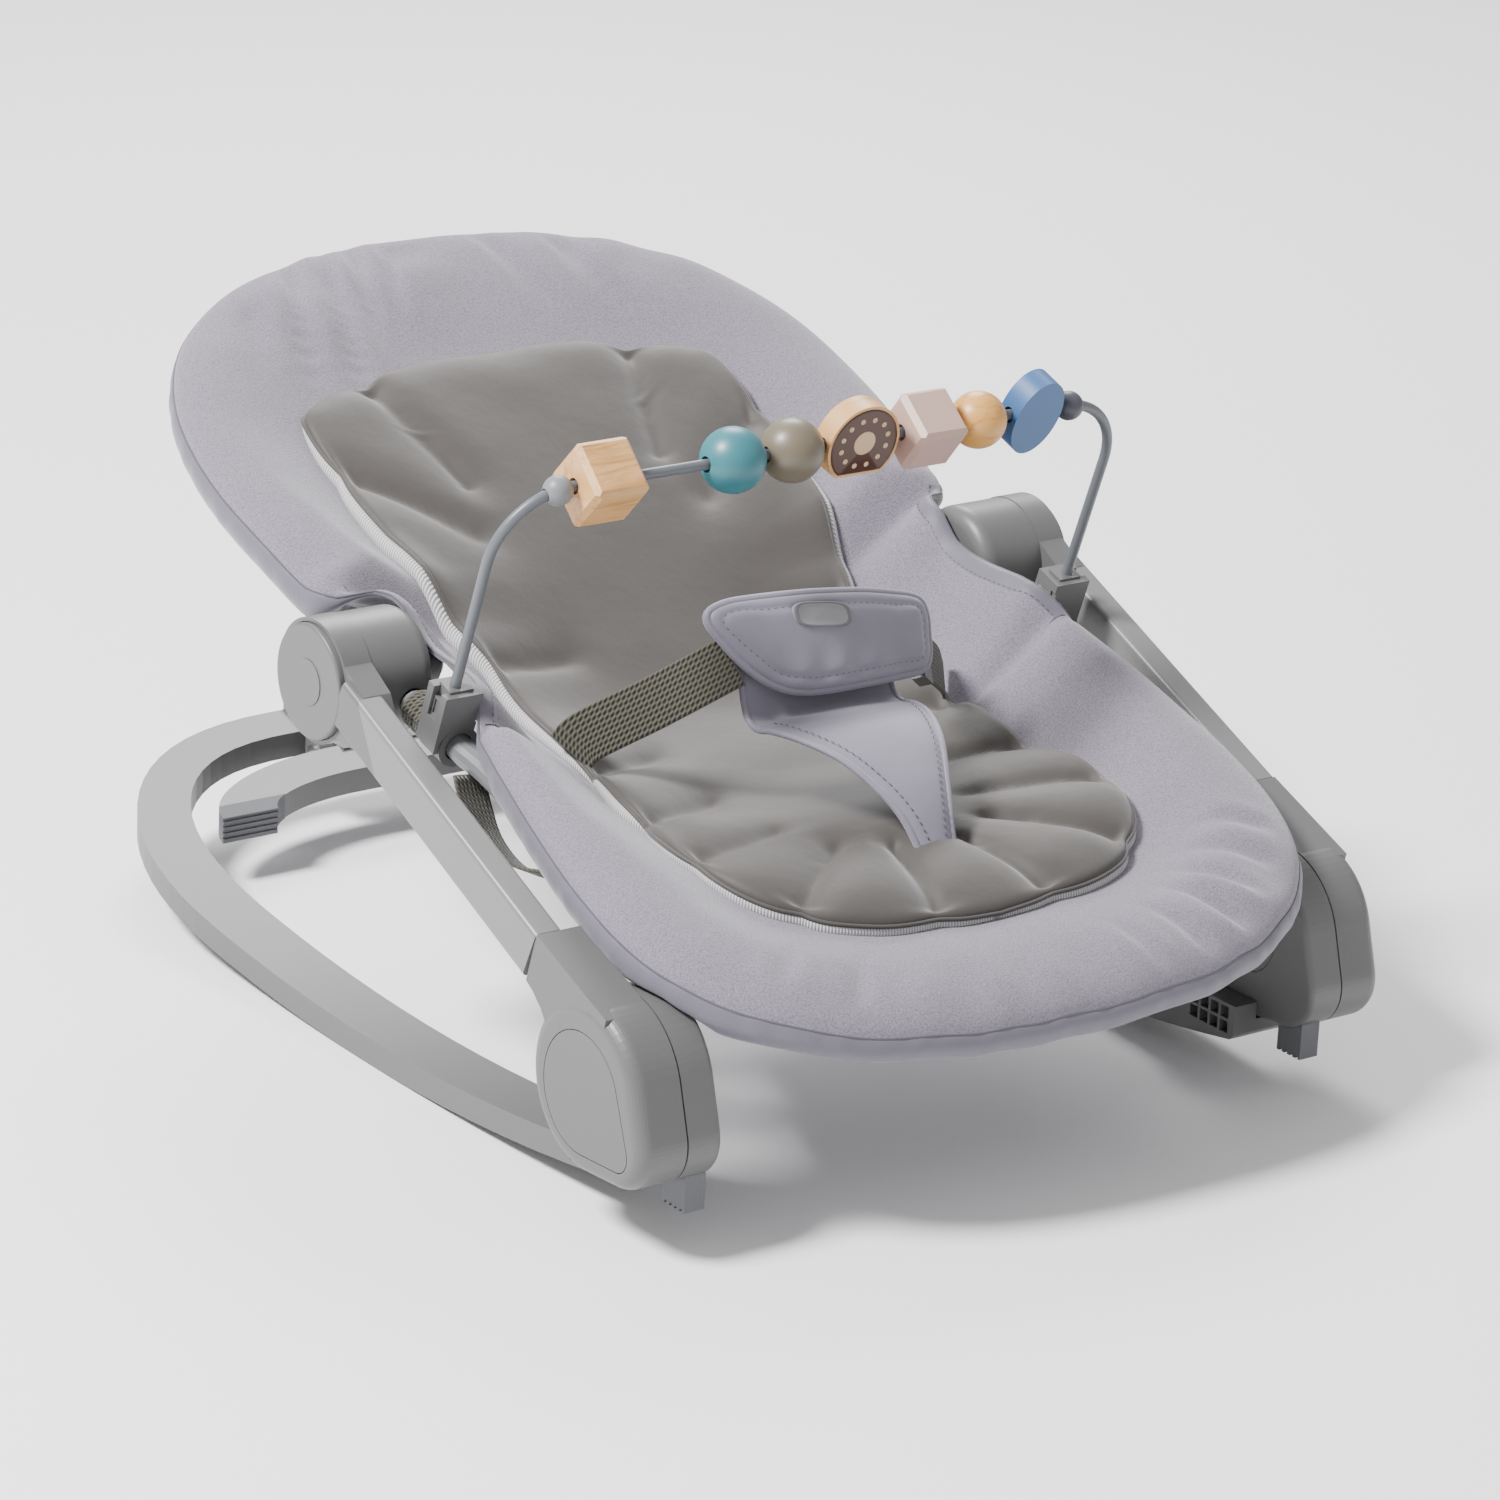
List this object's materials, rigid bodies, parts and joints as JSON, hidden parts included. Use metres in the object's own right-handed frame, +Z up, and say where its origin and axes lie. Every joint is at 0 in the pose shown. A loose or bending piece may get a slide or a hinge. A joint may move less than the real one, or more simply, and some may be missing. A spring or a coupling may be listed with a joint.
{
  "type": "baby bouncer seat",
  "caption": "Folding baby bouncer on a curved rocker, with a slung cushioned seat, reclining back, lap harness and a toy bar of wooden beads.",
  "frame": {"origin": "on the floor under the rocker's lowest line, at the middle of the width", "axes": "+X to the right side of the seat seen from behind its front looking back, -Y towards the foot end, +Z up"},
  "size_m": [0.466, 0.6784, 0.3494],
  "materials": {
    "frame_plastic": "fine matte grain, light warm grey",
    "arm_plastic": "smooth satin, light grey",
    "tube_coat": "smooth coated tube",
    "rubber": "matte ribbed rubber, mid grey",
    "steel": "plain bright steel",
    "webbing": "twill webbing",
    "cover_fabric": "fine grained soft cover cloth, pale lilac grey",
    "insert_fabric": "smooth satin cloth, warm grey",
    "patch": "blank sewn patch",
    "wire": "coated bar, satin grey",
    "stopper": "satin dark grey",
    "wood_light": "clear-coated pale wood",
    "paint_teal": "satin paint on wood",
    "paint_greige": "satin paint on wood",
    "paint_pink": "satin paint on wood",
    "paint_blue": "satin paint on wood"
  },
  "bodies": {
    "base": {"base_frame": "frame_plastic", "hub_inner_left": "frame_plastic", "hub_inner_right": "frame_plastic", "hub_inner_caps": "frame_plastic", "front_feet": "rubber", "rail_screws": "steel", "rear_bracket": "frame_plastic", "stabiliser_pin": "steel"},
    "stabiliser_bar": {"stabiliser": "frame_plastic", "stabiliser_tips": "rubber"},
    "seat_frame": {"hub_outer_left": "frame_plastic", "hub_outer_right": "frame_plastic", "hub_oval_caps": "frame_plastic", "front_pivots": "steel", "fold_latches": "steel", "arm_left": "arm_plastic", "arm_right": "arm_plastic", "arm_ring_left": "frame_plastic", "arm_ring_right": "frame_plastic", "drum_left": "frame_plastic", "drum_right": "frame_plastic", "recline_axles": "steel", "button_springs": "steel", "seat_tube": "tube_coat", "tube_webbing_left": "webbing", "tube_webbing_right": "webbing", "edge_webbing": "webbing", "clip_left": "frame_plastic", "clip_right": "frame_plastic", "clip_screws": "steel", "cover_seat": "cover_fabric", "insert_seat": "insert_fabric", "crotch_strap": "cover_fabric", "lap_pad": "cover_fabric", "lap_patch": "patch", "lap_strap_left": "webbing", "lap_strap_right": "webbing", "strap_adjuster": "frame_plastic"},
    "backrest": {"back_plate_left": "frame_plastic", "back_plate_right": "frame_plastic", "back_tube": "tube_coat", "cover_back": "cover_fabric", "insert_back": "insert_fabric", "back_screws": "steel"},
    "recline_button_left": {"button_left": "frame_plastic"},
    "recline_button_right": {"button_right": "frame_plastic"},
    "toy_bar": {"toy_wire": "wire", "toy_plugs": "frame_plastic", "toy_stoppers": "stopper"},
    "turning_cube_wood": {"bead_cube_wood": "wood_light"},
    "turning_ball_teal": {"bead_ball_teal": "paint_teal"},
    "turning_ball_greige": {"bead_ball_greige": "paint_greige"},
    "turning_disc_picture": {"bead_disc_picture": "wood_light"},
    "turning_cube_pink": {"bead_cube_pink": "paint_pink"},
    "turning_ball_wood": {"bead_ball_wood": "wood_light"},
    "turning_disc_blue": {"bead_disc_blue": "paint_blue"}
  },
  "joints": [
    {"name": "stabiliser_fold", "type": "hinge", "parent": "base", "child": "stabiliser_bar", "pos_m": [0, 0.3095, 0.044], "axis": [1, 0, 0], "range_deg": [0, 62]},
    {"name": "arm_fold", "type": "hinge", "parent": "base", "child": "seat_frame", "pos_m": [0, -0.229, 0.076], "axis": [1, 0, 0], "range_deg": [-22, 0]},
    {"name": "recline", "type": "hinge", "parent": "seat_frame", "child": "backrest", "pos_m": [0, 0.0225, 0.204], "axis": [1, 0, 0], "range_deg": [0, 30]},
    {"name": "press_left", "type": "slide", "parent": "seat_frame", "child": "recline_button_left", "axis": [1, 0, 0], "range_m": [0, 0.0035], "stiffness_N_per_m": 1500, "springref_m": -0.002},
    {"name": "press_right", "type": "slide", "parent": "seat_frame", "child": "recline_button_right", "axis": [-1, 0, 0], "range_m": [0, 0.0035], "stiffness_N_per_m": 1500, "springref_m": -0.002},
    {"name": "toy_bar_lift", "type": "slide", "parent": "seat_frame", "child": "toy_bar", "axis": [0, -0.3256, 0.9455], "range_m": [0, 0.045]},
    {"name": "bead_cube_wood_turn", "type": "hinge", "parent": "toy_bar", "child": "turning_cube_wood", "pos_m": [-0.137, -0.09042, 0.32657], "axis": [1, 0, 0], "continuous": true},
    {"name": "bead_ball_teal_turn", "type": "hinge", "parent": "toy_bar", "child": "turning_ball_teal", "pos_m": [-0.0572, -0.09042, 0.32657], "axis": [1, 0, 0], "continuous": true},
    {"name": "bead_ball_greige_turn", "type": "hinge", "parent": "toy_bar", "child": "turning_ball_greige", "pos_m": [-0.0208, -0.09042, 0.32657], "axis": [1, 0, 0], "continuous": true},
    {"name": "bead_disc_picture_turn", "type": "hinge", "parent": "toy_bar", "child": "turning_disc_picture", "pos_m": [0.0199, -0.09042, 0.32657], "axis": [1, 0, 0], "continuous": true},
    {"name": "bead_cube_pink_turn", "type": "hinge", "parent": "toy_bar", "child": "turning_cube_pink", "pos_m": [0.0626, -0.09042, 0.32657], "axis": [1, 0, 0], "continuous": true},
    {"name": "bead_ball_wood_turn", "type": "hinge", "parent": "toy_bar", "child": "turning_ball_wood", "pos_m": [0.0974, -0.09042, 0.32657], "axis": [1, 0, 0], "continuous": true},
    {"name": "bead_disc_blue_turn", "type": "hinge", "parent": "toy_bar", "child": "turning_disc_blue", "pos_m": [0.1315, -0.09042, 0.32657], "axis": [1, 0, 0], "continuous": true}
  ]
}
